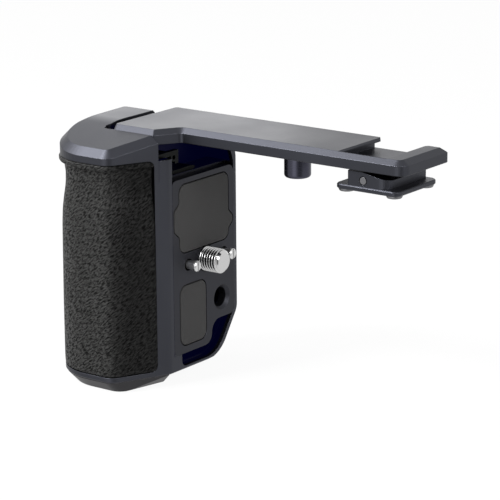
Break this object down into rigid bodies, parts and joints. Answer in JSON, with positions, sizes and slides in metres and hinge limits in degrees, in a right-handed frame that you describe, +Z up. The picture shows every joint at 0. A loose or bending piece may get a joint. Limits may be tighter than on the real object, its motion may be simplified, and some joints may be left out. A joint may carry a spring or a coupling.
{
  "type": "phone cage side grip",
  "caption": "Leather-wrapped side grip of a phone cage, with a captive mounting screw between sprung locating pins and a flat top arm that ends in a tilting shoe foot and a shoe receptacle.",
  "frame": {"origin": "axis of the mounting screw where it leaves the grip's inner face", "axes": "+X out of the inner face along the screw and the arm, +Z up along the grip, +Y to the back of the grip"},
  "size_m": [0.0977, 0.0442, 0.0667],
  "materials": {
    "anodised": "blue-grey anodised, fine bead blast",
    "dark_anodised": "near-black anodised",
    "plate": "dark satin",
    "leather": "black, pebbled",
    "pad": "matt",
    "black_screw": "blackened",
    "dark_steel": "dark anodised",
    "brass": "turned",
    "spring_steel": "bright wire",
    "magnet": "nickel plated",
    "bright_steel": "bright plated",
    "dull_steel": "dull",
    "tool_steel": "greenish black oxide"
  },
  "bodies": {
    "grip": {"grip_body": "anodised", "leather_wrap": "leather", "face_plate": "plate", "plate_screws": "black_screw", "upper_pad": "pad", "lower_pad": "pad", "base_plate": "anodised", "base_screws": "black_screw", "arm": "anodised", "arm_screws": "black_screw", "arm_post": "dark_anodised", "post_screw": "black_screw", "thread_bush": "dark_steel", "pin_bushes": "brass", "pin_springs": "spring_steel", "retaining_ring": "dark_steel", "tool_magnets": "magnet", "tilt_spring": "spring_steel"},
    "collar": {"screw_collar": "brass"},
    "screw": {"mount_screw": "bright_steel"},
    "left_locating": {"left_pin": "bright_steel"},
    "right_locating": {"right_pin": "bright_steel"},
    "shoe": {"shoe_block": "anodised", "tilt_pin": "dull_steel", "shoe_plate": "anodised", "shoe_screws": "black_screw", "corner_studs": "dull_steel"},
    "key": {"hex_key": "tool_steel"},
    "driver": {"flat_driver": "tool_steel"}
  },
  "joints": [
    {"name": "screw_pull", "type": "slide", "parent": "grip", "child": "collar", "axis": [-1, 0, 0], "range_m": [0, 0.00575]},
    {"name": "screw_turn", "type": "hinge", "parent": "collar", "child": "screw", "pos_m": [0, 0, 0], "axis": [1, 0, 0], "continuous": true},
    {"name": "left_pin_press", "type": "slide", "parent": "grip", "child": "left_locating", "axis": [-1, 0, 0], "range_m": [0, 0.0029], "stiffness_N_per_m": 400, "springref_m": -0.001},
    {"name": "right_pin_press", "type": "slide", "parent": "grip", "child": "right_locating", "axis": [-1, 0, 0], "range_m": [0, 0.0029], "stiffness_N_per_m": 400, "springref_m": -0.001},
    {"name": "shoe_tilt", "type": "hinge", "parent": "grip", "child": "shoe", "pos_m": [0.05528, -0.00105, 0.03], "axis": [0, -1, 0], "range_deg": [0, 9], "stiffness_Nm_per_rad": 0.02, "springref_deg": -5.73, "deforming": ["tilt_spring"]},
    {"name": "key_out", "type": "slide", "parent": "grip", "child": "key", "axis": [1, 0, 0], "range_m": [0, 0.022]},
    {"name": "driver_out", "type": "slide", "parent": "grip", "child": "driver", "axis": [1, 0, 0], "range_m": [0, 0.022]}
  ]
}
